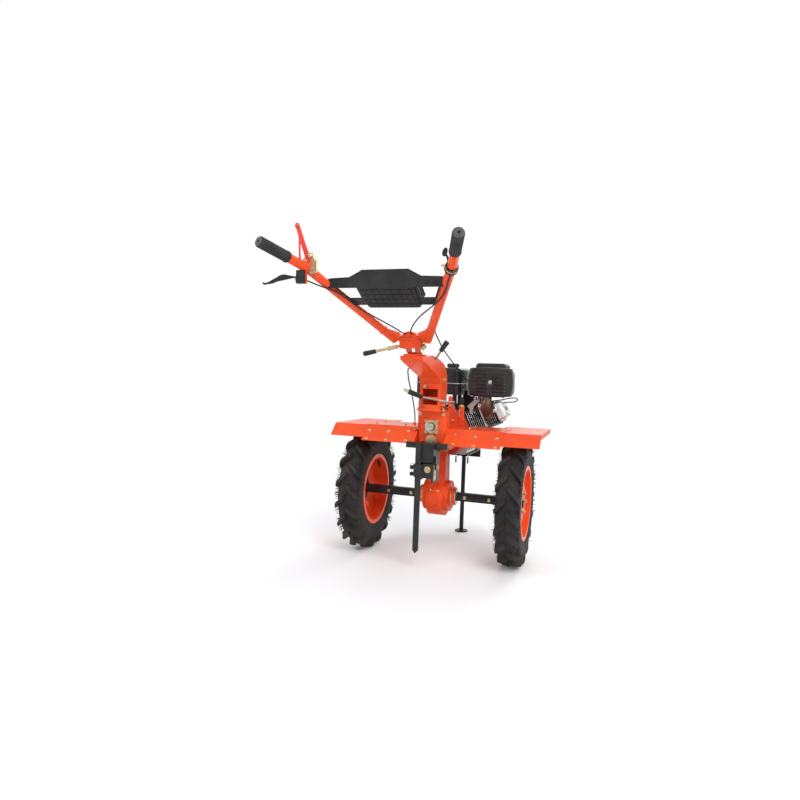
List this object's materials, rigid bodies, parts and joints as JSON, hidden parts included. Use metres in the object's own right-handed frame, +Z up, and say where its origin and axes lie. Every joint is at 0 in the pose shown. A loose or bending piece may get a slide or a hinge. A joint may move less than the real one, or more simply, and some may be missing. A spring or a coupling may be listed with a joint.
{
  "type": "walking tractor",
  "caption": "Two-wheeled walking tractor with lugged tyres, fenders, a petrol engine in front, a rear hitch and power take-off, and a swivelling handlebar with tool tray.",
  "frame": {"origin": "on the floor, under the middle of the wheel axle", "axes": "+X to the machine's right, +Y its direction of travel (the engine's end), +Z up"},
  "size_m": [0.942, 1.5961, 1.3264],
  "materials": {
    "orange_paint": "gloss orange-red paint",
    "cast_orange": "orange-red paint over cast iron",
    "black_paint": "satin black paint",
    "black_plastic": "moulded black plastic",
    "grip_rubber": "ribbed rubber grip",
    "tyre_rubber": "charcoal tyre rubber",
    "zinc_plate": "yellow zinc plating",
    "bare_steel": "bare steel",
    "engine_alu": "die-cast aluminium",
    "fin_black": "black painted aluminium",
    "red_lever": "red paint",
    "exhaust_steel": "heat-tinted steel"
  },
  "bodies": {
    "chassis": {"air_cleaner": "black_plastic", "bearing_cap": "zinc_plate", "bracket_left": "orange_paint", "bracket_right": "orange_paint", "carburettor": "engine_alu", "clutch_bell": "cast_orange", "column": "orange_paint", "column_cable": "black_plastic", "crankcase": "engine_alu", "cylinder": "fin_black", "depth_stake": "black_paint", "drive_leg": "cast_orange", "engine_frame": "black_paint", "exhaust_pipe": "exhaust_steel", "fender_left": "orange_paint", "fender_right": "orange_paint", "fuel_cap": "black_plastic", "fuel_tank": "black_plastic", "gear_lever": "zinc_plate", "gearbox": "cast_orange", "hitch_bracket": "black_paint", "hitch_pin": "zinc_plate", "muffler": "bare_steel", "muffler_guard": "black_paint", "oil_filler": "orange_paint", "output_nuts": "zinc_plate", "pto_ring": "zinc_plate", "recoil_starter": "black_plastic", "shroud": "black_plastic", "swivel_lever": "bare_steel", "throttle_cable_front": "black_plastic", "valve_cover": "engine_alu"},
    "swivel_head": {"swivel_head": "orange_paint", "height_lever": "zinc_plate"},
    "handlebar": {"yoke": "orange_paint", "handle_tube_left": "orange_paint", "handle_tube_right": "orange_paint", "grip_left": "grip_rubber", "grip_right": "grip_rubber", "cross_plate": "black_paint", "tool_tray": "black_plastic", "tray_brackets": "black_paint", "clutch_lever": "red_lever", "clutch_bracket": "zinc_plate", "lever_mount": "black_paint", "black_lever": "black_paint", "throttle_clamp": "zinc_plate", "throttle_lever": "black_plastic", "left_cable": "black_plastic", "right_cable": "black_plastic", "throttle_cable_rear": "black_plastic"},
    "wheel_left": {"tyre_left": "tyre_rubber", "rim_left": "orange_paint", "axle_left": "black_paint"},
    "wheel_right": {"tyre_right": "tyre_rubber", "rim_right": "orange_paint", "axle_right": "black_paint"},
    "front_stand": {"front_stand": "black_paint"},
    "pto_shaft": {"pto_shaft": "bare_steel"}
  },
  "joints": [
    {"name": "wheel_left_spin", "type": "hinge", "parent": "chassis", "child": "wheel_left", "pos_m": [-0.355, 0, 0.28], "axis": [1, 0, 0], "continuous": true},
    {"name": "wheel_right_spin", "type": "hinge", "parent": "chassis", "child": "wheel_right", "pos_m": [0.355, 0, 0.28], "axis": [1, 0, 0], "continuous": true},
    {"name": "pto_spin", "type": "hinge", "parent": "chassis", "child": "pto_shaft", "pos_m": [0, -0.17, 0.606], "axis": [0, 1, 0], "continuous": true},
    {"name": "handlebar_swivel", "type": "hinge", "parent": "chassis", "child": "swivel_head", "pos_m": [0, -0.432, 0.91], "axis": [0, 0, 1], "range_deg": [-30, 30], "deforming": ["throttle_cable_front"]},
    {"name": "handlebar_tilt", "type": "hinge", "parent": "swivel_head", "child": "handlebar", "pos_m": [0, -0.462, 0.94], "axis": [-1, 0, 0], "range_deg": [-12, 20], "deforming": ["throttle_cable_rear"]},
    {"name": "stand_slide", "type": "slide", "parent": "chassis", "child": "front_stand", "axis": [0, 0, 1], "range_m": [0, 0.095]}
  ]
}
